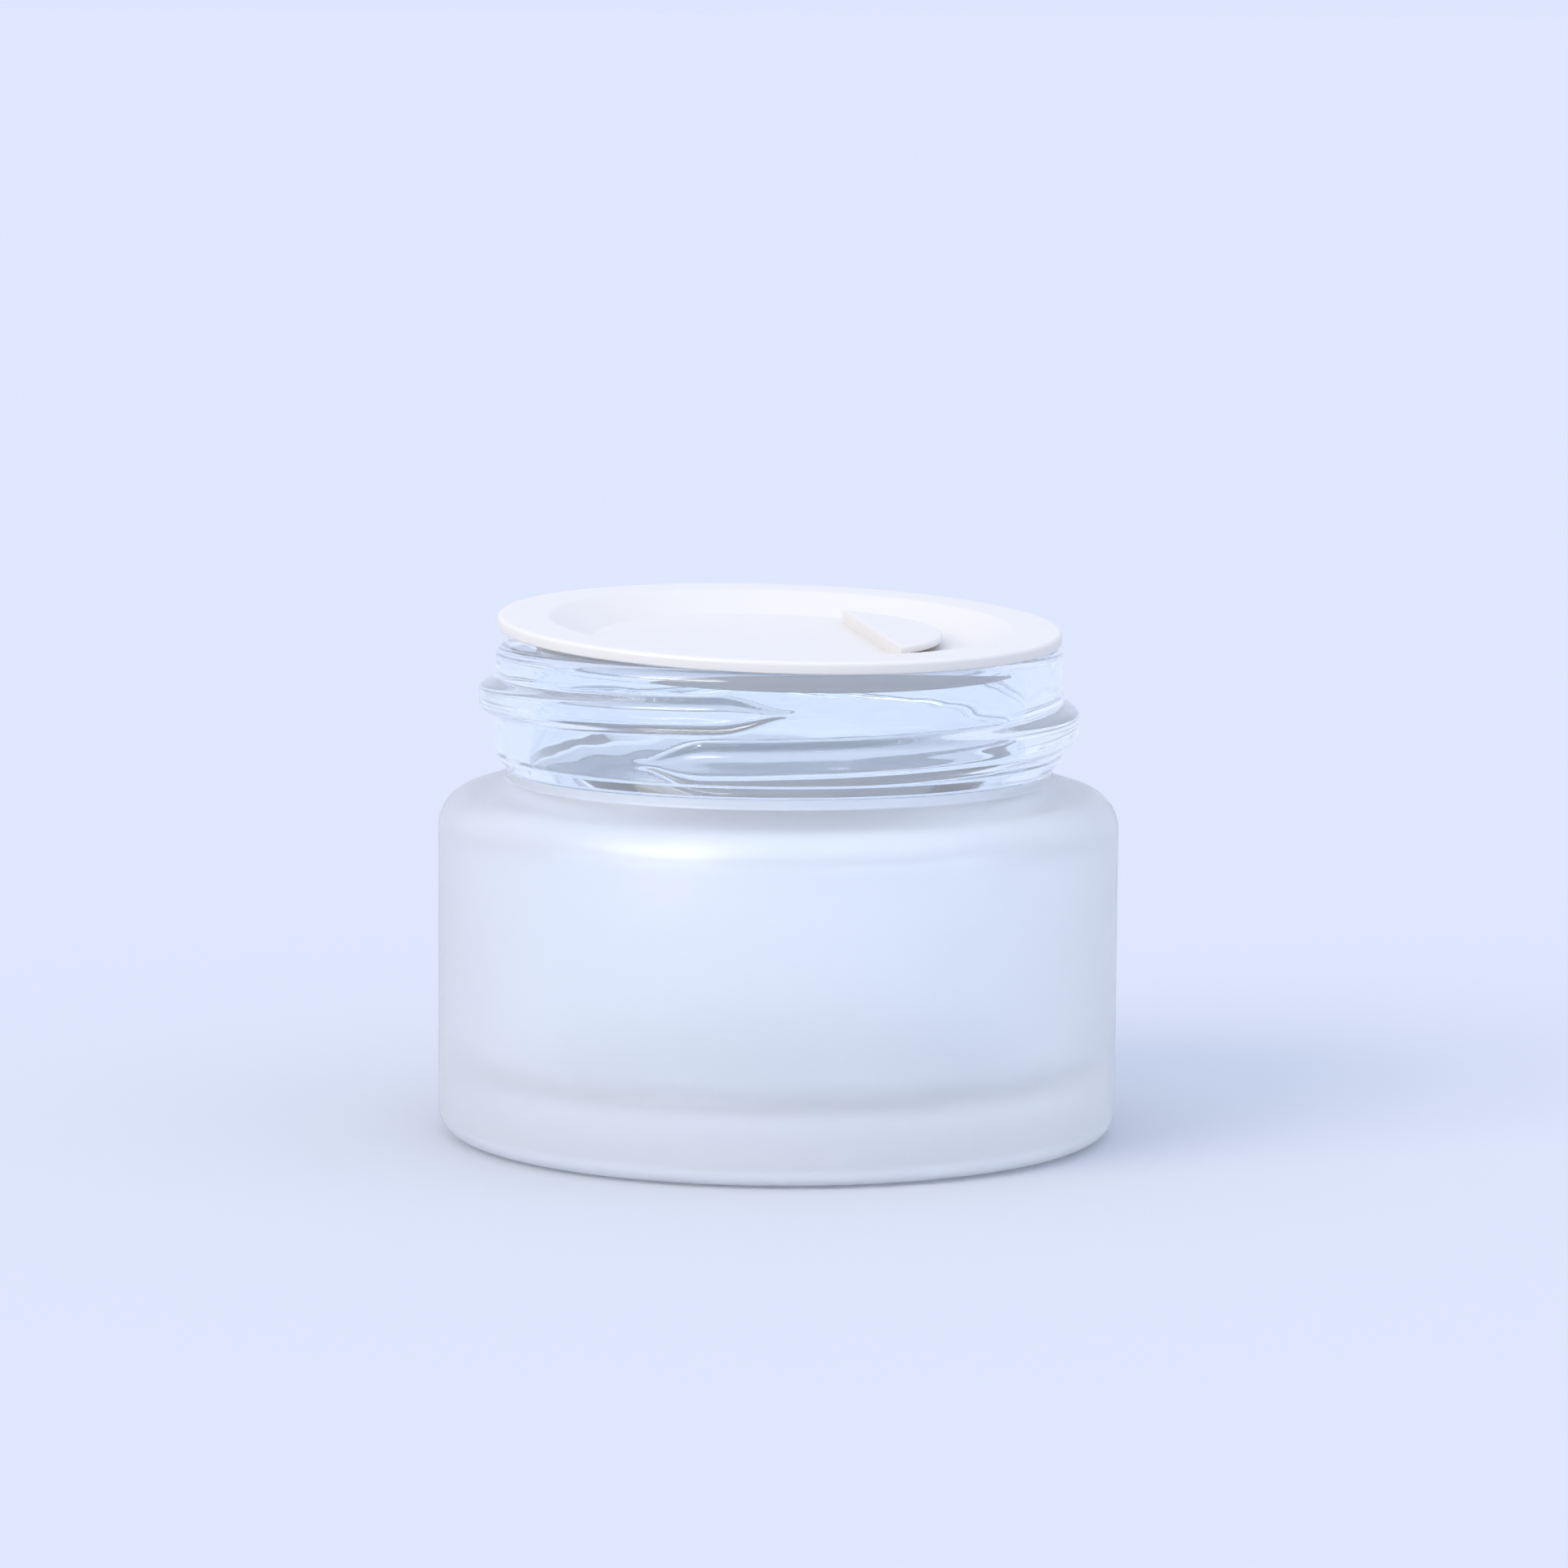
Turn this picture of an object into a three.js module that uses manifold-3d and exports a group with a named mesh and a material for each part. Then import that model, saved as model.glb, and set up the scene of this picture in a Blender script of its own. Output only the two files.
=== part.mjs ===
// Cosmetic cream jar: a heavy round glass jar with a threaded neck, and the
// loose white inner disc that seals its mouth. Millimetres, +Z up. The origin
// is the centre of the ring that the jar stands on. The front is -Y.

import * as THREE from 'three';
import { mergeVertices } from 'three/addons/utils/BufferGeometryUtils.js';
import Module from 'manifold-3d';

// ---- Driving dimensions -------------------------------------------------

const ROUND_SEGMENTS = 60;      // facets round every turned surface
const ARC_DIVISIONS = 2;        // half the facets in each profile arc
const TAB_ARC_SEGMENTS = 16;
const MERGE_TOLERANCE = 1e-5;   // vertices closer than this are one vertex

// Glass body
const BODY_RADIUS = 30;
const BASE_CORNER_RADIUS = 2.2;
const PUSH_UP_HEIGHT = 0.8;     // how far the underside is hollowed
const PUSH_UP_RADIUS = 22.5;
const BEARING_INNER_RADIUS = 23.5;
const SHOULDER_CORNER_RADIUS = 3.4;
const SHOULDER_CORNER_Z = 27.2; // height where the wall starts to turn in
const SHOULDER_SLOPE = THREE.MathUtils.degToRad(16.7);

// Neck, from the groove above the shoulder to the rim
const GROOVE_RADIUS = 24.1;
const GROOVE_TOP_Z = 32.5;
const NECK_RADIUS = 25;
const NECK_BOTTOM_Z = 33.5;
const RIM_Z = 43.3;
const RIM_CORNER_RADIUS = 1.2;
const MOUTH_RADIUS = 21.9;
const MOUTH_CORNER_RADIUS = 0.5;

// Cream cavity
const CAVITY_RADIUS = 23.4;
const CAVITY_TAPER_Z = 21.5;    // where the cavity's wall starts to lean in
const CAVITY_STEP_RADIUS = 22.8;
const CAVITY_STEP_Z = 26.2;     // where the lean ends in a short step to the mouth
const CAVITY_NECK_Z = 27.6;     // where the cavity has closed to the mouth
const CAVITY_FLOOR_Z = 5.4;
const CAVITY_CORNER_RADIUS = 3;

// External thread: one right-hand start, an oval ridge that swells out of the
// neck wall and sinks back into it
const THREAD_PITCH = 4.3;
const THREAD_START_DEG = -30;   // measured from the front, towards +X
const THREAD_END_DEG = 364;
const THREAD_RIGHT_Z = 36.5;    // height of the ridge where it passes +X
const THREAD_DEPTH = 1.5;
const THREAD_FADE_DEG = 16;
const THREAD_TIP_SHARE = 0.1;   // least share of its height that a fading end keeps
const THREAD_HALF_HEIGHT_START = 1.95;
const THREAD_HALF_HEIGHT_END = 1.45;
const NECK_ROWS = 22;           // bands of the neck wall that carry the ridge
const ON_WALL_TOLERANCE = 1e-3; // how near the neck radius a point is on its wall

// Inner disc, in its own frame: Z is 0 on the underside of its flange
const FLANGE_RADIUS = 24.85;
const FLANGE_THICKNESS = 0.8;
const FLANGE_EDGE_RADIUS = 0.3;
const PAN_RIM_RADIUS = 20.4;    // where the sloped wall of the recess starts
const PAN_FLOOR_RADIUS = 16.4;
const PAN_FLOOR_TOP_Z = -0.95;
const PAN_THICKNESS = 0.8;
const PLUG_RADIUS = 21.4;
const PLUG_THICKNESS = 0.9;
const PLUG_BOTTOM_Z = -2.3;
const PLUG_CHAMFER = 0.3;

// Finger tab of the disc: a D-shaped plate on a straight riser
const TAB_RADIUS = 14.35;
const TAB_CHORD_OFFSET = 8.25;
const TAB_RISER_THICKNESS = 0.9;
const TAB_TOP_Z = 0.2;
const TAB_THICKNESS = 0.7;
const TAB_TURN = THREE.MathUtils.degToRad(12);

// How the disc lies on the rim: not pressed home, lifted at the back and left
const DISC_LIFT_BACK = THREE.MathUtils.degToRad(2.4);
const DISC_LIFT_LEFT = THREE.MathUtils.degToRad(1.45);
const REST_GAP = 0.3;

const GLASS_COLOR = 0xd3dff5;
const GLASS_ROUGHNESS = 0.35;
const DISC_COLOR = 0xf4f3fa;
const DISC_ROUGHNESS = 0.4;

// ---- Solids -------------------------------------------------------------

const wasm = await Module();
wasm.setup();

function toSolid(geometry) {
  const bare = geometry.clone();
  bare.deleteAttribute('normal');
  bare.deleteAttribute('uv');
  const merged = mergeVertices(bare, MERGE_TOLERANCE);
  const vertProperties = Float32Array.from(merged.attributes.position.array);
  const triVerts = Uint32Array.from(merged.index.array);
  return new wasm.Manifold(new wasm.Mesh({ numProp: 3, vertProperties, triVerts }));
}

function toGeometry(solid) {
  const mesh = solid.getMesh();
  const geometry = new THREE.BufferGeometry();
  const positions = new THREE.BufferAttribute(mesh.vertProperties, 3);
  geometry.setAttribute('position', positions);
  geometry.setIndex(new THREE.BufferAttribute(mesh.triVerts, 1));
  geometry.computeVertexNormals();
  return geometry;
}

// A profile in radius and height, turned round +Z
function turn(profile) {
  const points = profile.getPoints(ARC_DIVISIONS);
  const geometry = new THREE.LatheGeometry(points, ROUND_SEGMENTS);
  return geometry.rotateX(Math.PI / 2);
}

// ---- Glass jar ----------------------------------------------------------

const QUARTER = Math.PI / 2;
const NECK_TOP_Z = RIM_Z - RIM_CORNER_RADIUS;

function traceUnderside(profile) {
  profile.moveTo(0, PUSH_UP_HEIGHT);
  profile.lineTo(PUSH_UP_RADIUS, PUSH_UP_HEIGHT);
  profile.lineTo(BEARING_INNER_RADIUS, 0);
  const cornerCentre = BODY_RADIUS - BASE_CORNER_RADIUS;
  profile.lineTo(cornerCentre, 0);
  profile.absarc(cornerCentre, BASE_CORNER_RADIUS, BASE_CORNER_RADIUS, -QUARTER, 0);
}

function traceShoulder(profile) {
  const centre = BODY_RADIUS - SHOULDER_CORNER_RADIUS;
  const end = QUARTER - SHOULDER_SLOPE;
  profile.absarc(centre, SHOULDER_CORNER_Z, SHOULDER_CORNER_RADIUS, 0, end);
  const endRadius = centre + SHOULDER_CORNER_RADIUS * Math.cos(end);
  const endZ = SHOULDER_CORNER_Z + SHOULDER_CORNER_RADIUS * Math.sin(end);
  const rise = (endRadius - GROOVE_RADIUS) * Math.tan(SHOULDER_SLOPE);
  profile.lineTo(GROOVE_RADIUS, endZ + rise);
}

function traceNeck(profile) {
  profile.lineTo(GROOVE_RADIUS, GROOVE_TOP_Z);
  profile.lineTo(NECK_RADIUS, NECK_BOTTOM_Z);
  for (let row = 1; row < NECK_ROWS; row += 1) {
    const z = THREE.MathUtils.lerp(NECK_BOTTOM_Z, NECK_TOP_Z, row / NECK_ROWS);
    profile.lineTo(NECK_RADIUS, z);
  }
  const rimCentre = NECK_RADIUS - RIM_CORNER_RADIUS;
  profile.absarc(rimCentre, NECK_TOP_Z, RIM_CORNER_RADIUS, 0, QUARTER);
  const mouthCentre = MOUTH_RADIUS + MOUTH_CORNER_RADIUS;
  const mouthZ = RIM_Z - MOUTH_CORNER_RADIUS;
  profile.absarc(mouthCentre, mouthZ, MOUTH_CORNER_RADIUS, QUARTER, 2 * QUARTER);
}

function traceCavity(profile) {
  profile.lineTo(MOUTH_RADIUS, CAVITY_NECK_Z);
  profile.lineTo(CAVITY_STEP_RADIUS, CAVITY_STEP_Z);
  profile.lineTo(CAVITY_RADIUS, CAVITY_TAPER_Z);
  const cornerCentre = CAVITY_RADIUS - CAVITY_CORNER_RADIUS;
  const cornerZ = CAVITY_FLOOR_Z + CAVITY_CORNER_RADIUS;
  profile.absarc(cornerCentre, cornerZ, CAVITY_CORNER_RADIUS, 0, -QUARTER, true);
  profile.lineTo(0, CAVITY_FLOOR_Z);
}

// How far the ridge has swelled at one angle: 0 at its two ends, 1 between
function threadFade(angleDeg) {
  const fromStart = (angleDeg - THREAD_START_DEG) / THREAD_FADE_DEG;
  const fromEnd = (THREAD_END_DEG - angleDeg) / THREAD_FADE_DEG;
  return THREE.MathUtils.smoothstep(Math.min(fromStart, fromEnd), 0, 1);
}

// How far the ridge stands out of the neck wall at an angle and a height
function ridgeHeight(angleDeg, z) {
  const along = (angleDeg - THREAD_START_DEG) / (THREAD_END_DEG - THREAD_START_DEG);
  const ridgeZ = THREAD_RIGHT_Z + THREAD_PITCH * (angleDeg - 90) / 360;
  const fullHeight = THREE.MathUtils.lerp(
    THREAD_HALF_HEIGHT_START, THREAD_HALF_HEIGHT_END, along);
  const fade = threadFade(angleDeg);
  const offset = (z - ridgeZ) / (fullHeight * Math.max(fade, THREAD_TIP_SHARE));
  return THREAD_DEPTH * fade * Math.sqrt(Math.max(0, 1 - offset * offset));
}

// Swells the thread out of the turned neck wall
function raiseThread(geometry) {
  const { position } = geometry.attributes;
  for (let i = 0; i < position.count; i += 1) {
    const [x, y, z] = [position.getX(i), position.getY(i), position.getZ(i)];
    const onNeckWall = Math.abs(Math.hypot(x, y) - NECK_RADIUS) < ON_WALL_TOLERANCE;
    if (onNeckWall) {
      const angleDeg = THREE.MathUtils.radToDeg(Math.atan2(x, -y));
      const height = Math.max(ridgeHeight(angleDeg, z), ridgeHeight(angleDeg + 360, z));
      const scale = 1 + height / NECK_RADIUS;
      position.setXY(i, x * scale, y * scale);
    }
  }
  return geometry;
}

function makeJar() {
  const profile = new THREE.Path();
  traceUnderside(profile);
  traceShoulder(profile);
  traceNeck(profile);
  traceCavity(profile);
  return toGeometry(toSolid(raiseThread(turn(profile))));
}

// ---- Inner disc ---------------------------------------------------------

function tracePlug(profile) {
  const inner = PLUG_RADIUS - PLUG_THICKNESS;
  profile.lineTo(inner, PLUG_BOTTOM_Z);
  profile.lineTo(PLUG_RADIUS - PLUG_CHAMFER, PLUG_BOTTOM_Z);
  profile.lineTo(PLUG_RADIUS, PLUG_BOTTOM_Z + PLUG_CHAMFER);
  profile.lineTo(PLUG_RADIUS, 0);
}

function traceFlange(profile) {
  const edgeCentre = FLANGE_RADIUS - FLANGE_EDGE_RADIUS;
  const upperZ = FLANGE_THICKNESS - FLANGE_EDGE_RADIUS;
  profile.absarc(edgeCentre, FLANGE_EDGE_RADIUS, FLANGE_EDGE_RADIUS, -QUARTER, 0);
  profile.absarc(edgeCentre, upperZ, FLANGE_EDGE_RADIUS, 0, QUARTER);
}

function makeDiscBody() {
  const profile = new THREE.Path();
  const underside = PAN_FLOOR_TOP_Z - PAN_THICKNESS;
  profile.moveTo(0, underside);
  profile.lineTo(PAN_FLOOR_RADIUS, underside);
  profile.lineTo(PLUG_RADIUS - PLUG_THICKNESS, 0);
  tracePlug(profile);
  traceFlange(profile);
  profile.lineTo(PAN_RIM_RADIUS, FLANGE_THICKNESS);
  profile.lineTo(PAN_FLOOR_RADIUS, PAN_FLOOR_TOP_Z);
  profile.lineTo(0, PAN_FLOOR_TOP_Z);
  return toSolid(turn(profile));
}

// The piece of a round plate beyond a chord that lies across +X
function makeSegmentPlate(chord, radius, bottomZ, topZ) {
  const halfAngle = Math.acos(chord / radius);
  const outline = new THREE.Shape();
  outline.moveTo(chord, -radius * Math.sin(halfAngle));
  outline.absarc(0, 0, radius, -halfAngle, halfAngle);
  outline.closePath();
  const depth = topZ - bottomZ;
  const options = { depth, bevelEnabled: false, curveSegments: TAB_ARC_SEGMENTS };
  return new THREE.ExtrudeGeometry(outline, options).translate(0, 0, bottomZ);
}

function makeTab() {
  const sunkZ = PAN_FLOOR_TOP_Z - PAN_THICKNESS / 2;
  const plate = makeSegmentPlate(TAB_CHORD_OFFSET, TAB_RADIUS, sunkZ, TAB_TOP_Z);
  const undercutChord = TAB_CHORD_OFFSET + TAB_RISER_THICKNESS;
  const undercutTop = TAB_TOP_Z - TAB_THICKNESS;
  const undercut = makeSegmentPlate(undercutChord, PAN_FLOOR_RADIUS, sunkZ, undercutTop);
  return toSolid(plate.rotateZ(TAB_TURN)).subtract(toSolid(undercut.rotateZ(TAB_TURN)));
}

function makeDisc() {
  return toGeometry(makeDiscBody().add(makeTab()));
}

// ---- Assembly -----------------------------------------------------------

function makeMesh(name, geometry, color, roughness) {
  const material = new THREE.MeshStandardMaterial({ color, roughness, metalness: 0 });
  const mesh = new THREE.Mesh(geometry, material);
  mesh.name = name;
  return mesh;
}

const jar = makeMesh('glass_jar', makeJar(), GLASS_COLOR, GLASS_ROUGHNESS);

// The flange's lowest side lies over the flat top of the rim
const disc = makeMesh('inner_disc', makeDisc(), DISC_COLOR, DISC_ROUGHNESS);
const discTilt = Math.hypot(DISC_LIFT_BACK, DISC_LIFT_LEFT);
const landRadius = NECK_RADIUS - RIM_CORNER_RADIUS;
disc.position.z = RIM_Z + REST_GAP + landRadius * Math.sin(discTilt);
disc.rotation.set(DISC_LIFT_BACK, DISC_LIFT_LEFT, 0);

const creamJar = new THREE.Group();
creamJar.add(jar, disc);

export default creamJar;
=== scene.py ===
import math

import bmesh
import bpy
from mathutils import Euler, Matrix, Vector


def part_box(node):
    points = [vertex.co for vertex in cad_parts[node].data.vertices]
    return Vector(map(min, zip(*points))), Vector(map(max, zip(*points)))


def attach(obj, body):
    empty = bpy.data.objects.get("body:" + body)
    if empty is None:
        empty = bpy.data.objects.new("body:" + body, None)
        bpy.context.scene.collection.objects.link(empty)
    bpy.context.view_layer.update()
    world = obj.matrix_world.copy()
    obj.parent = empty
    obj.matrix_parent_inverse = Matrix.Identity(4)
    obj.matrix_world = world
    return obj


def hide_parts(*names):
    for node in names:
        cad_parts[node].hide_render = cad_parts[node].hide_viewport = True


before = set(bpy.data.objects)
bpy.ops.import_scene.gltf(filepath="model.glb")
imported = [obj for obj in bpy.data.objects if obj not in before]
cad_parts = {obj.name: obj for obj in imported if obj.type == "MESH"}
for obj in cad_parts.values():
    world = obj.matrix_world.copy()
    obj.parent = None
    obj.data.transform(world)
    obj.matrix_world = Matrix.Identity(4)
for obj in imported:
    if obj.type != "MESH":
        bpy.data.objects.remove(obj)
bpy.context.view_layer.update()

MM = 0.001

# ---- Sizes in millimetres, from the jar's axis and base unless a line says so ----

_, jar_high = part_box("glass_jar")
BODY_RADIUS = jar_high.x / MM
RIM_Z = jar_high.z / MM

AROUND = 300                    # steps round every turned surface
FILLET_STEP = math.radians(7)   # turn of a fillet between two of its points
TINY = 1e-6                     # lengths that differ by less are the same
ON_WALL = 1e-4                  # a point this near to the neck wall's radius is on the wall
SHARP_ANGLE = math.radians(10)  # edges bent further than this are shaded sharp

# Corners of the jar's half section: radius, height, fillet radius
BASE_CORNERS = [
    (0, 0.8, 0),
    (22.5, 0.8, 0.8),
    (23.5, 0, 0.6),
    (BODY_RADIUS, 0, 2.2),
]
SHOULDER_CORNERS = [
    (BODY_RADIUS, 29.73, 3.4),
    (24.1, 31.5, 0.25),
]
NECK_CORNERS = [
    (24.1, 32.5, 0.5),
    (25.0, 33.5, 0.6),
    (25.0, RIM_Z, 1.2),
]
INSIDE_CORNERS = [
    (21.9, RIM_Z, 0.5),
    (21.9, 27.6, 0.8),
    (22.8, 26.2, 0.6),
    (23.4, 21.5, 8.0),
    (23.4, 5.4, 3.0),
    (0, 5.4, 0),
]
NECK_RADIUS = 25.0
NECK_BAND = (33.4, 42.3)        # heights between which the thread stands out
NECK_ROW = 0.13                 # height of one row of the neck's mesh
FROST_TOP = 32.3                # the satin surface ends inside the groove
FROST_RADIUS = 23.9             # the inside of the jar is narrower than this
FROST_BASE_Z = 1                # and the underside is all below this

# Thread: one right-hand start
THREAD_PITCH = 4.3
THREAD_START = -30              # degrees from the front, towards +X
THREAD_END = 364
THREAD_RIGHT_Z = 36.5           # height of its middle at 90 degrees
THREAD_DEPTH = 1.5
THREAD_FADE = 16                # degrees over which each end swells
THREAD_HALF_HEIGHTS = (2.15, 1.65)
THREAD_END_HEIGHT = 0.2         # height of the thread's very ends, as a share
THREAD_FLANK = 2.5              # a higher power makes the thread's crest flatter

# Corners of the inner disc's half section, 0 on the underside of its flange
FLANGE_RADIUS = 24.85
DISC_CORNERS = [
    (0, -1.75, 0),
    (16.4, -1.75, 0.6),
    (20.5, 0, 0.3),
    (20.5, -2.3, 0.25),
    (21.4, -2.3, 0.4),
    (21.4, 0, 0.15),
    (24.2, 0, 0.3),
    (FLANGE_RADIUS, -0.4, 0.15),
    (FLANGE_RADIUS, 0.8, 0.35),
    (20.4, 0.8, 1.4),
    (16.4, -0.95, 1.2),
    (0, -0.95, 0),
]

# Finger tab: a D-shaped plate on a straight riser, heights from the flange's underside
TAB_RADIUS = 14.35
TAB_CHORD = 8.25
TAB_RISER = 0.9
RISER_INSET = 0.6
TAB_TOP_Z = 0.2
TAB_THICKNESS = 0.7
TAB_SUNK_Z = -1.3
TAB_TURN = math.radians(12)
TAB_EDGE = 0.3
TAB_STEPS = 72
BEVEL_SEGMENTS = 4

# How the disc lies: tilted as in the CAD, with a finer gap to the flat of the rim
DISC_LIFT_BACK = math.radians(2.4)
DISC_LIFT_LEFT = math.radians(1.45)
REST_GAP = 0.02
RIM_LAND_RADIUS = 23.8

# Camera: where it stands and what it looks at, in metres
CAMERA_PLACE = Vector((0, -0.56, 0.09927))
CAMERA_TARGET = Vector((0.00047, 0, 0.03082))
CAMERA_ROLL = math.radians(0.38)
CAMERA_LENS = 146.7
CAMERA_SENSOR = 36
CAMERA_CLIP = (0.01, 200)
LIGHT_BOUNCES = 64              # light turns many times inside thick glass

# Studio, in metres and degrees
PALE = (0.735, 0.795, 0.985)    # the pale lavender of the studio
ZENITH_STRENGTH = 1.25
GLASS_IOR = 1.5
GLASS_GLOW = 0.022
FLOOR_HALF = 60                 # far enough to reach the horizon
FLOOR_Z = -0.0001
STRIP_DISTANCE = 1.0
STRIP_SIZE = (0.6, 0.14)
STRIP_POWER = 2.4
STRIP_ELEVATION = 32
STRIP_AZIMUTH = -42

# Soft lamps: strength, colour, and angle across, elevation and azimuth in degrees
LAMPS = {
    "key": (1.3, (1.0, 0.9, 0.72), 40, 32, -50),
    "fill": (0.6, (0.88, 0.94, 1.0), 120, 40, 30),
}


# ---- Turned surfaces ---------------------------------------------------------

def fillet(before, corner, after):
    """The points that round one corner of a section."""
    point, radius = Vector(corner[:2]), corner[2]
    if radius == 0:
        return [point]
    towards = [(Vector(other[:2]) - point).normalized() for other in (before, after)]
    half = towards[0].angle(towards[1]) / 2
    reach = radius / math.tan(half)
    centre = point + (towards[0] + towards[1]).normalized() * radius / math.sin(half)
    start, end = [point + way * reach - centre for way in towards]
    sweep = start.angle_signed(end)
    steps = max(2, math.ceil(abs(sweep) / FILLET_STEP))
    turns = [Matrix.Rotation(-sweep * i / steps, 2) for i in range(steps + 1)]
    return [centre + turn @ start for turn in turns]


def rounded(corners):
    """A section's points, with every corner filleted."""
    points = []
    for i, corner in enumerate(corners):
        before = corners[max(i - 1, 0)]
        after = corners[min(i + 1, len(corners) - 1)]
        points += fillet(before, corner, after)
    return points


def subdivided(points, row, low, high):
    """Adds points to the straight runs of a section that lie between two heights."""
    result = [points[0]]
    for a, b in zip(points, points[1:]):
        inside = low <= min(a.y, b.y) + row and max(a.y, b.y) <= high + row
        steps = math.ceil((b - a).length / row) if inside else 1
        result += [a.lerp(b, (i + 1) / steps) for i in range(steps)]
    return result


def turned(points, shape=None):
    """A closed surface: the section turned round +Z. shape, if given, sets each radius."""
    mesh = bmesh.new()
    rings = []
    for point in points:
        if point.x < TINY:
            rings.append([mesh.verts.new((0, 0, point.y))])
            continue
        ring = []
        for i in range(AROUND):
            angle = 2 * math.pi * i / AROUND
            radius = shape(point, angle) if shape else point.x
            place = (radius * math.sin(angle), -radius * math.cos(angle), point.y)
            ring.append(mesh.verts.new(place))
        rings.append(ring)
    for lower, upper in zip(rings, rings[1:]):
        for i in range(AROUND):
            j = (i + 1) % AROUND
            corners = [lower[i % len(lower)], lower[j % len(lower)],
                       upper[j % len(upper)], upper[i % len(upper)]]
            mesh.faces.new(list(dict.fromkeys(corners)))
    return mesh


def joined(meshes):
    """One closed mesh from several that overlap."""
    pieces = []
    for mesh in meshes:
        bmesh.ops.recalc_face_normals(mesh, faces=mesh.faces)
        data = bpy.data.meshes.new("part")
        mesh.to_mesh(data)
        mesh.free()
        pieces.append(bpy.data.objects.new("part", data))
        bpy.context.scene.collection.objects.link(pieces[-1])
    for other in pieces[1:]:
        union = pieces[0].modifiers.new("union", "BOOLEAN")
        union.operation = "UNION"
        union.solver = "MANIFOLD"
        union.object = other
    bpy.context.view_layer.update()
    depsgraph = bpy.context.evaluated_depsgraph_get()
    result = bmesh.new()
    result.from_object(pieces[0], depsgraph)
    for piece in pieces:
        bpy.data.objects.remove(piece)
    return result


def finished(mesh, name, place=Matrix.Identity(4)):
    """Puts a mesh in millimetres into the scene as a smooth object in metres."""
    bmesh.ops.recalc_face_normals(mesh, faces=mesh.faces)
    mesh.transform(Matrix.Scale(MM, 4) @ place)
    data = bpy.data.meshes.new(name)
    mesh.to_mesh(data)
    mesh.free()
    data.shade_smooth()
    piece = bpy.data.objects.new(name, data)
    bpy.context.scene.collection.objects.link(piece)
    return piece


# ---- Node helpers --------------------------------------------------------------

def new_material(name):
    """A material, its node tree and its Principled shader."""
    material = bpy.data.materials.new(name)
    material.use_nodes = True
    tree = material.node_tree
    return material, tree, tree.nodes["Principled BSDF"]


def noise(tree, scale, detail=2.0, stretch=None):
    """Noise that is fixed to the piece, with features about 1/scale metres across."""
    place = tree.nodes.new("ShaderNodeTexCoord")
    texture = tree.nodes.new("ShaderNodeTexNoise")
    texture.inputs["Scale"].default_value = scale
    texture.inputs["Detail"].default_value = detail
    vector = place.outputs["Object"]
    if stretch:
        mapping = tree.nodes.new("ShaderNodeMapping")
        mapping.inputs["Scale"].default_value = stretch
        tree.links.new(vector, mapping.inputs["Vector"])
        vector = mapping.outputs["Vector"]
    tree.links.new(vector, texture.inputs["Vector"])
    return texture.outputs["Fac"]


def ramp(tree, value, low, high):
    """Maps noise from 0 to 1 onto a range of numbers."""
    node = tree.nodes.new("ShaderNodeMapRange")
    node.inputs["To Min"].default_value = low
    node.inputs["To Max"].default_value = high
    tree.links.new(value, node.inputs["Value"])
    return node.outputs["Result"]


def blend_colors(tree, value, first, second):
    """A colour between two, picked by noise."""
    node = tree.nodes.new("ShaderNodeMix")
    node.data_type = "RGBA"
    node.inputs["A"].default_value = (*first, 1)
    node.inputs["B"].default_value = (*second, 1)
    tree.links.new(value, node.inputs["Factor"])
    return node.outputs["Result"]


def bump(tree, value, distance, strength=1.0):
    """A bump from noise, distance metres deep."""
    node = tree.nodes.new("ShaderNodeBump")
    node.inputs["Distance"].default_value = distance
    node.inputs["Strength"].default_value = strength
    tree.links.new(value, node.inputs["Height"])
    return node.outputs["Normal"]


# ---- Materials -----------------------------------------------------------------

def add_glow(shader):
    """A trace of emission that real glass doesn't have, set against the photo."""
    shader.inputs["Emission Color"].default_value = (*PALE, 1)
    shader.inputs["Emission Strength"].default_value = GLASS_GLOW


def clear_glass():
    """Moulded glass: glossy, with the slow ripple of the mould."""
    material, tree, shader = new_material("clear_glass")
    shader.inputs["Base Color"].default_value = (0.915, 0.955, 0.985, 1)
    shader.inputs["Transmission Weight"].default_value = 1.0
    shader.inputs["IOR"].default_value = GLASS_IOR
    add_glow(shader)
    link = tree.links.new
    link(ramp(tree, noise(tree, 400), 0.01, 0.04), shader.inputs["Roughness"])
    ripple = noise(tree, 130, detail=1.0, stretch=(1, 1, 2.5))
    link(bump(tree, ripple, 0.00006), shader.inputs["Normal"])
    return material


def frosted_glass():
    """Glass with a fine satin etch. Its colour and transmission are given."""
    material, tree, shader = new_material("frosted_glass")
    shader.inputs["Base Color"].default_value = (0.965, 0.985, 0.995, 1)
    shader.inputs["Transmission Weight"].default_value = 0.72
    shader.inputs["IOR"].default_value = GLASS_IOR
    add_glow(shader)
    link = tree.links.new
    cloud = noise(tree, 160, detail=3.0)
    link(ramp(tree, cloud, 0.35, 0.43), shader.inputs["Roughness"])
    grain = noise(tree, 5200, detail=2.0)
    link(bump(tree, grain, 0.000012, 0.5), shader.inputs["Normal"])
    return material


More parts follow.
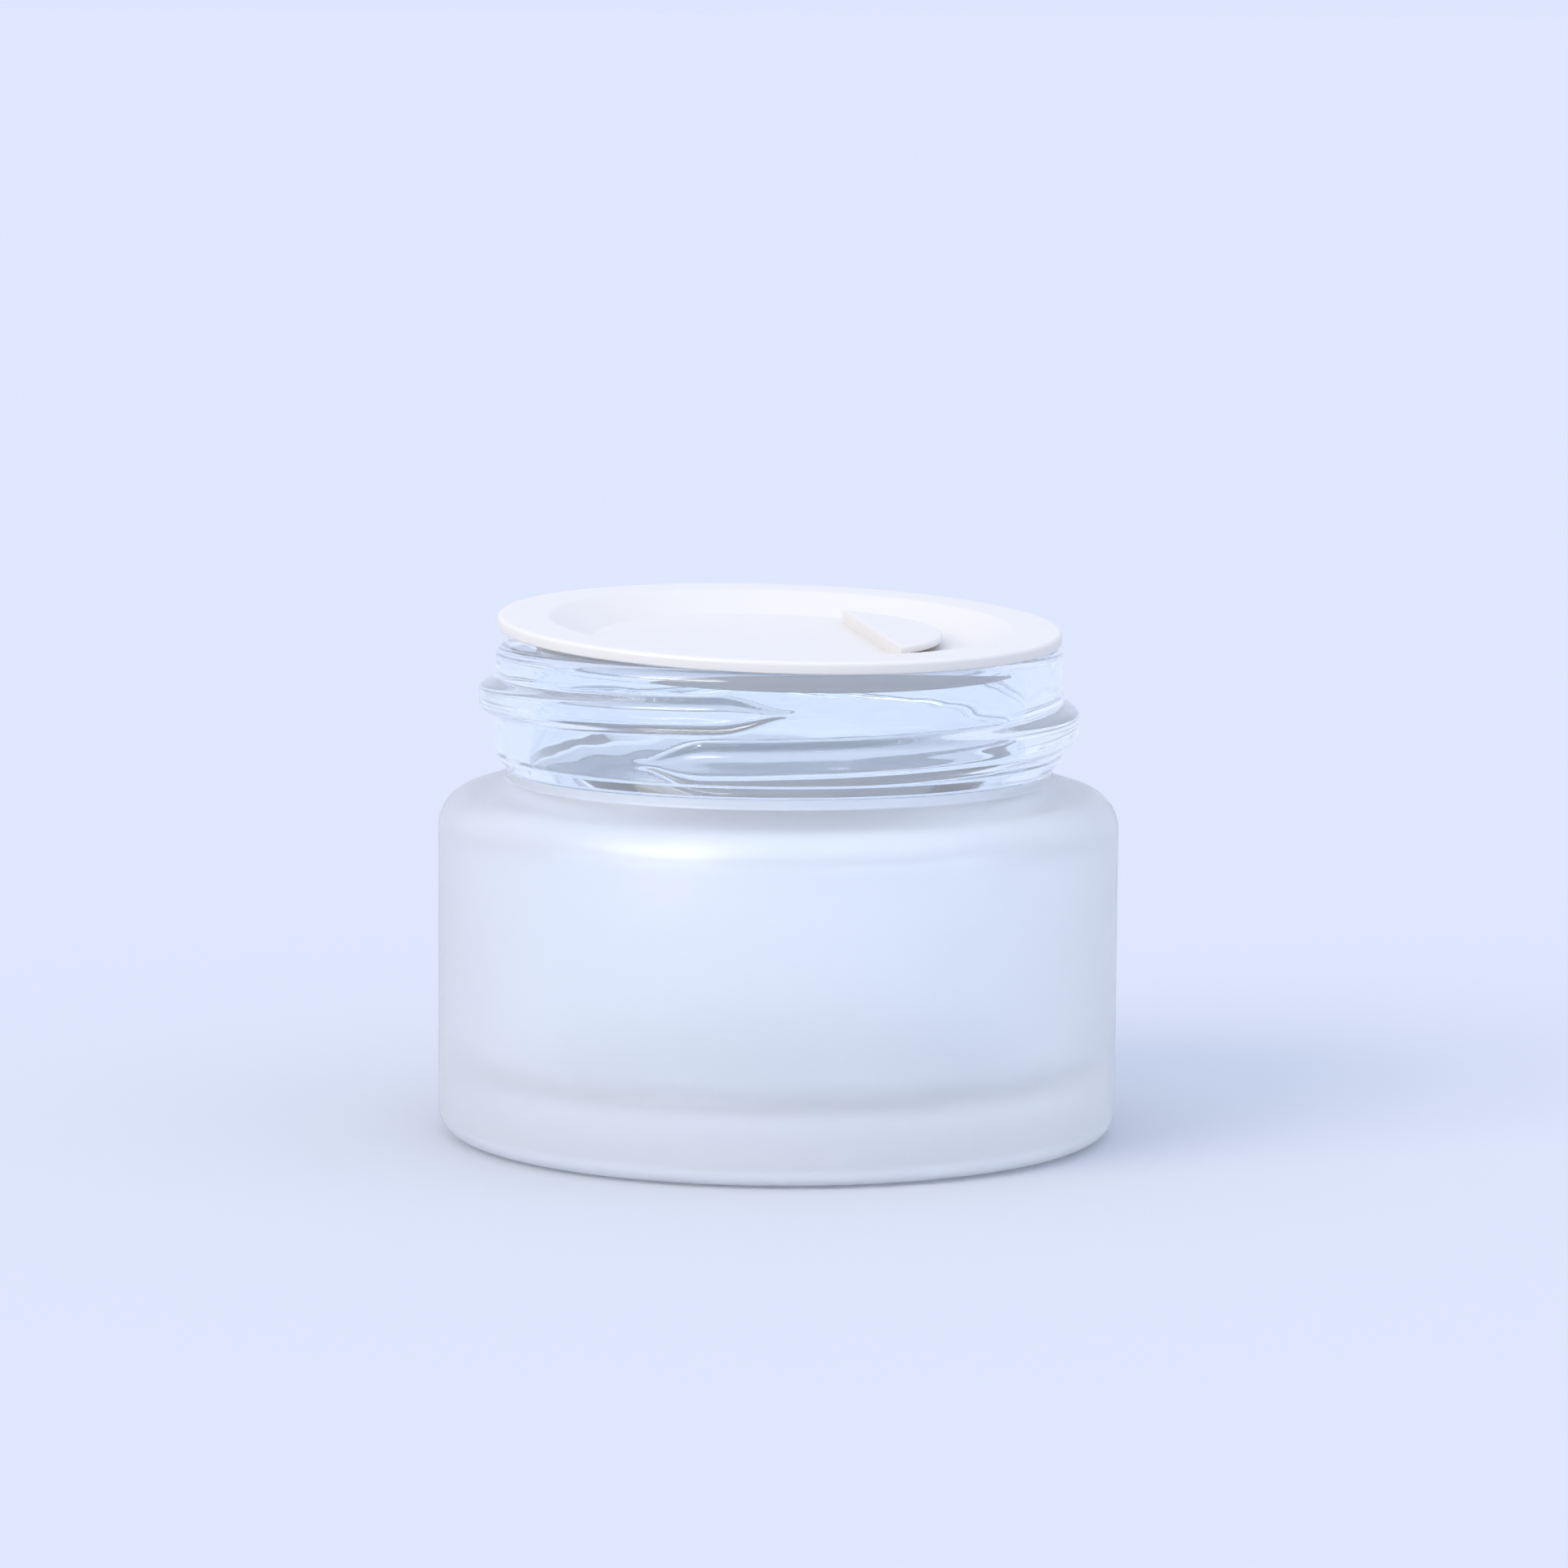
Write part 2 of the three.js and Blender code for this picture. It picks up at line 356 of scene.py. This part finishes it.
def white_plastic():
    """Moulded polypropylene: milky, with a faint orange peel."""
    material, tree, shader = new_material("white_plastic")
    link = tree.links.new
    cloud = noise(tree, 90, detail=3.0)
    color = blend_colors(tree, cloud, (0.71, 0.685, 0.65), (0.735, 0.71, 0.68))
    link(color, shader.inputs["Base Color"])
    shader.inputs["Subsurface Weight"].default_value = 0.22
    shader.inputs["Subsurface Radius"].default_value = (1, 0.95, 0.9)
    shader.inputs["Subsurface Scale"].default_value = 0.0015
    shader.inputs["IOR"].default_value = 1.49
    link(ramp(tree, noise(tree, 260), 0.36, 0.46), shader.inputs["Roughness"])
    peel = noise(tree, 1400, detail=1.0)
    link(bump(tree, peel, 0.000015, 0.6), shader.inputs["Normal"])
    return material


# ---- Glass jar -----------------------------------------------------------------

def thread_fade(degrees):
    """How far the ridge has swelled: 0 at its two ends, 1 between."""
    nearer = min(degrees - THREAD_START, THREAD_END - degrees) / THREAD_FADE
    nearer = min(max(nearer, 0), 1)
    return nearer * nearer * (3 - 2 * nearer)


def ridge(degrees, z):
    """How far the thread stands out of the neck wall at an angle and a height."""
    fade = thread_fade(degrees)
    if fade == 0:
        return 0
    along = (degrees - THREAD_START) / (THREAD_END - THREAD_START)
    first, last = THREAD_HALF_HEIGHTS
    half_height = (first + (last - first) * along) * max(fade, THREAD_END_HEIGHT)
    middle = THREAD_RIGHT_Z + THREAD_PITCH * (degrees - 90) / 360
    inside = 1 - min(abs(z - middle) / half_height, 1) ** THREAD_FLANK
    return THREAD_DEPTH * fade * inside * inside * (3 - 2 * inside)


def neck_shape(point, angle):
    """The outside radius at a point of the section and an angle round the neck."""
    if abs(point.x - NECK_RADIUS) >= ON_WALL:
        return point.x
    degrees = (math.degrees(angle) + 180) % 360 - 180
    return point.x + max(ridge(degrees, point.y), ridge(degrees + 360, point.y))


def make_jar():
    outside = BASE_CORNERS + SHOULDER_CORNERS + NECK_CORNERS
    points = rounded(outside + INSIDE_CORNERS)
    points = subdivided(points, NECK_ROW, *NECK_BAND)
    mesh = turned(points, neck_shape)
    for face in mesh.faces:
        middle = face.calc_center_median()
        radius = math.hypot(middle.x, middle.y)
        on_outside = radius > FROST_RADIUS or middle.z < FROST_BASE_Z
        face.material_index = int(on_outside and middle.z < FROST_TOP)
    jar = finished(mesh, "jar_shell")
    jar.data.materials.append(clear_glass())
    jar.data.materials.append(frosted_glass())
    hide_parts("glass_jar")
    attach(jar, "jar")


# ---- Inner disc ----------------------------------------------------------------

def disc_place():
    """Where the disc lies: tilted, its flange's low side on the flat of the rim."""
    tilt = math.hypot(DISC_LIFT_BACK, DISC_LIFT_LEFT)
    height = RIM_Z + REST_GAP + RIM_LAND_RADIUS * math.sin(tilt)
    lift_back = Matrix.Rotation(DISC_LIFT_BACK, 4, "X")
    lift_left = Matrix.Rotation(DISC_LIFT_LEFT, 4, "Y")
    # about Y first and then X, as three.js turns the disc in the CAD
    return Matrix.Translation((0, 0, height)) @ lift_back @ lift_left


def is_curved_rim(edge, chord):
    """Whether an edge of the plate is level and lies on its arc, not on its chord."""
    first, second = [vert.co for vert in edge.verts]
    level = abs(first.z - second.z) < TINY
    return level and max(first.x, second.x) > chord + TINY


def segment_prism(chord, radius, low, high, rounding):
    """The part of a round plate beyond a chord across +X, its curved rims rounded."""
    mesh = bmesh.new()
    half = math.acos(chord / radius)
    verts = []
    for i in range(TAB_STEPS + 1):
        angle = half * (2 * i / TAB_STEPS - 1)
        place = (radius * math.cos(angle), radius * math.sin(angle), low)
        verts.append(mesh.verts.new(place))
    base = mesh.faces.new(verts)
    top = bmesh.ops.extrude_face_region(mesh, geom=[base])["geom"]
    lifted = [v for v in top if isinstance(v, bmesh.types.BMVert)]
    bmesh.ops.translate(mesh, verts=lifted, vec=(0, 0, high - low))
    rims = [edge for edge in mesh.edges if is_curved_rim(edge, chord)]
    bmesh.ops.bevel(mesh, geom=rims, offset=rounding, segments=BEVEL_SEGMENTS,
                    profile=0.5, affect="EDGES")
    return mesh


def box_mesh(low, high):
    """A plain block between two corners."""
    mesh = bmesh.new()
    bmesh.ops.create_cube(mesh, size=1)
    low, high = Vector(low), Vector(high)
    middle = Matrix.Translation((low + high) / 2)
    mesh.transform(middle @ Matrix.Diagonal((*(high - low), 1)))
    return mesh


def make_disc():
    disc = turned(rounded(DISC_CORNERS))
    underside = TAB_TOP_Z - TAB_THICKNESS
    plate = segment_prism(TAB_CHORD, TAB_RADIUS, underside, TAB_TOP_Z, TAB_EDGE)
    half = math.sqrt(TAB_RADIUS ** 2 - TAB_CHORD ** 2) - RISER_INSET
    riser_low = (TAB_CHORD, -half, TAB_SUNK_Z)
    riser_high = (TAB_CHORD + TAB_RISER, half, TAB_TOP_Z - TAB_EDGE)
    riser = box_mesh(riser_low, riser_high)
    for mesh in (plate, riser):
        mesh.transform(Matrix.Rotation(TAB_TURN, 4, "Z"))
    piece = finished(joined([disc, plate, riser]), "sealing_disc", disc_place())
    piece.data.set_sharp_from_angle(angle=SHARP_ANGLE)
    piece.data.materials.append(white_plastic())
    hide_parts("inner_disc")
    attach(piece, "disc")


# ---- Studio --------------------------------------------------------------------

def make_floor():
    mesh = bmesh.new()
    bmesh.ops.create_grid(mesh, x_segments=1, y_segments=1, size=FLOOR_HALF / MM)
    floor = finished(mesh, "studio_floor")
    floor.location.z = FLOOR_Z
    material, _, shader = new_material("studio_floor")
    shader.inputs["Base Color"].default_value = (0.62, 0.645, 0.69, 1)
    shader.inputs["Roughness"].default_value = 0.9
    shader.inputs["Specular IOR Level"].default_value = 0.0
    floor.data.materials.append(material)


def make_world():
    """Pale light from all round, a little stronger from above."""
    world = bpy.data.worlds.new("studio")
    bpy.context.scene.world = world
    world.use_nodes = True
    tree = world.node_tree
    background = tree.nodes["Background"]
    background.inputs["Color"].default_value = (*PALE, 1)
    place = tree.nodes.new("ShaderNodeTexCoord")
    axes = tree.nodes.new("ShaderNodeSeparateXYZ")
    tree.links.new(place.outputs["Generated"], axes.inputs["Vector"])
    strength = ramp(tree, axes.outputs["Z"], 1, ZENITH_STRENGTH)
    tree.links.new(strength, background.inputs["Strength"])


def make_lamp(name, strength, color, angle, elevation, azimuth):
    """A soft lamp far away. Azimuth 0 stands behind the camera, -90 on its left."""
    data = bpy.data.lights.new(name, "SUN")
    data.energy = strength
    data.color = color
    data.angle = math.radians(angle)
    lamp = bpy.data.objects.new(name, data)
    lamp.rotation_euler = (math.radians(90 - elevation), 0, math.radians(azimuth))
    bpy.context.scene.collection.objects.link(lamp)


def make_strip():
    """A long bright panel that only glossy surfaces and glass show."""
    data = bpy.data.lights.new("strip", "AREA")
    data.shape = "RECTANGLE"
    data.size, data.size_y = STRIP_SIZE
    data.energy = STRIP_POWER
    lamp = bpy.data.objects.new("strip", data)
    turn = Euler((math.radians(90 - STRIP_ELEVATION), 0, math.radians(STRIP_AZIMUTH)))
    lamp.rotation_euler = turn
    lamp.location = turn.to_matrix() @ Vector((0, 0, STRIP_DISTANCE))
    lamp.visible_diffuse = False
    lamp.visible_camera = False
    bpy.context.scene.collection.objects.link(lamp)


def make_light():
    make_world()
    for name, settings in LAMPS.items():
        make_lamp(name, *settings)
    make_strip()


def make_camera():
    data = bpy.data.cameras.new("camera")
    data.lens = CAMERA_LENS
    data.sensor_width = CAMERA_SENSOR
    data.clip_start, data.clip_end = CAMERA_CLIP
    camera = bpy.data.objects.new("camera", data)
    aim = (CAMERA_TARGET - CAMERA_PLACE).to_track_quat("-Z", "Y")
    camera.rotation_mode = "QUATERNION"
    camera.rotation_quaternion = aim @ Matrix.Rotation(CAMERA_ROLL, 3, "Z").to_quaternion()
    camera.location = CAMERA_PLACE
    bpy.context.scene.collection.objects.link(camera)
    bpy.context.scene.camera = camera


def set_render():
    scene = bpy.context.scene
    scene.view_settings.view_transform = "Standard"
    scene.cycles.max_bounces = LIGHT_BOUNCES
    scene.cycles.transmission_bounces = LIGHT_BOUNCES
    scene.cycles.glossy_bounces = LIGHT_BOUNCES
    scene.cycles.diffuse_bounces = LIGHT_BOUNCES


make_jar()
make_disc()
make_floor()
make_light()
make_camera()
set_render()
